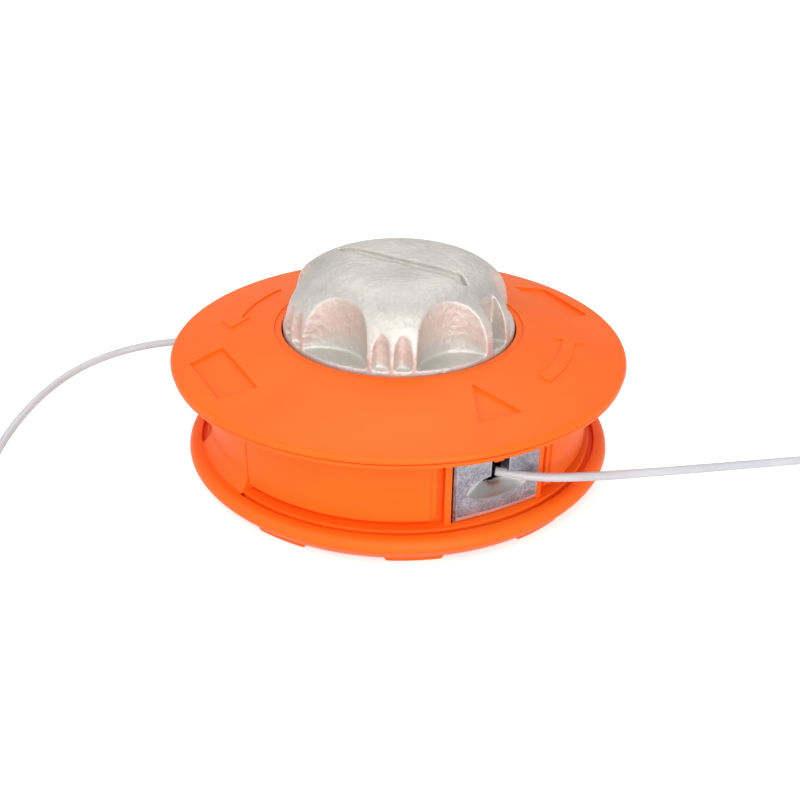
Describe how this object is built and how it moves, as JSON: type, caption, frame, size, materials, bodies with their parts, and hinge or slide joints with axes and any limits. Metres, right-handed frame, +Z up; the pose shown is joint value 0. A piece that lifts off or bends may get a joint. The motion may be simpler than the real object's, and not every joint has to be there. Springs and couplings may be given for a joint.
{
  "type": "line trimmer head",
  "caption": "Round bump-feed line trimmer head with a cast knob, a conical cover, metal eyelets and a sprung spool of nylon cutting line.",
  "frame": {"origin": "centre of the housing's foot tabs, on the surface that the head stands on", "axes": "+Z up along the drive axis, towards the bump knob; +X through the front eyelet"},
  "size_m": [0.1543, 0.2513, 0.0598],
  "materials": {
    "housing_plastic": "satin moulded",
    "cover_plastic": "satin moulded",
    "eyelet_metal": "die cast",
    "knob_metal": "die cast, tumbled",
    "spool_plastic": "moulded",
    "nylon_line": "translucent",
    "steel": "zinc plated",
    "spring_steel": "drawn wire"
  },
  "bodies": {
    "housing": {"housing": "housing_plastic", "cover": "cover_plastic", "drive_insert": "steel", "eyelet_front": "eyelet_metal", "eyelet_back": "eyelet_metal", "return_spring": "spring_steel", "line_end_front": "nylon_line", "line_end_back": "nylon_line"},
    "thrust": {"spring_washer": "steel"},
    "spool": {"spool": "spool_plastic", "winding_lower": "nylon_line", "winding_upper": "nylon_line", "bump_knob": "knob_metal", "knob_screw_1": "steel", "knob_screw_2": "steel", "knob_screw_3": "steel"}
  },
  "joints": [
    {"name": "bump", "type": "slide", "parent": "housing", "child": "thrust", "axis": [0, 0, -1], "range_m": [0, 0.0055], "stiffness_N_per_m": 2500, "springref_m": -0.004, "deforming": ["return_spring"]},
    {"name": "spool_turn", "type": "hinge", "parent": "thrust", "child": "spool", "pos_m": [0, 0, 0.0255], "axis": [0, 0, 1], "range_deg": [0, 30]}
  ]
}
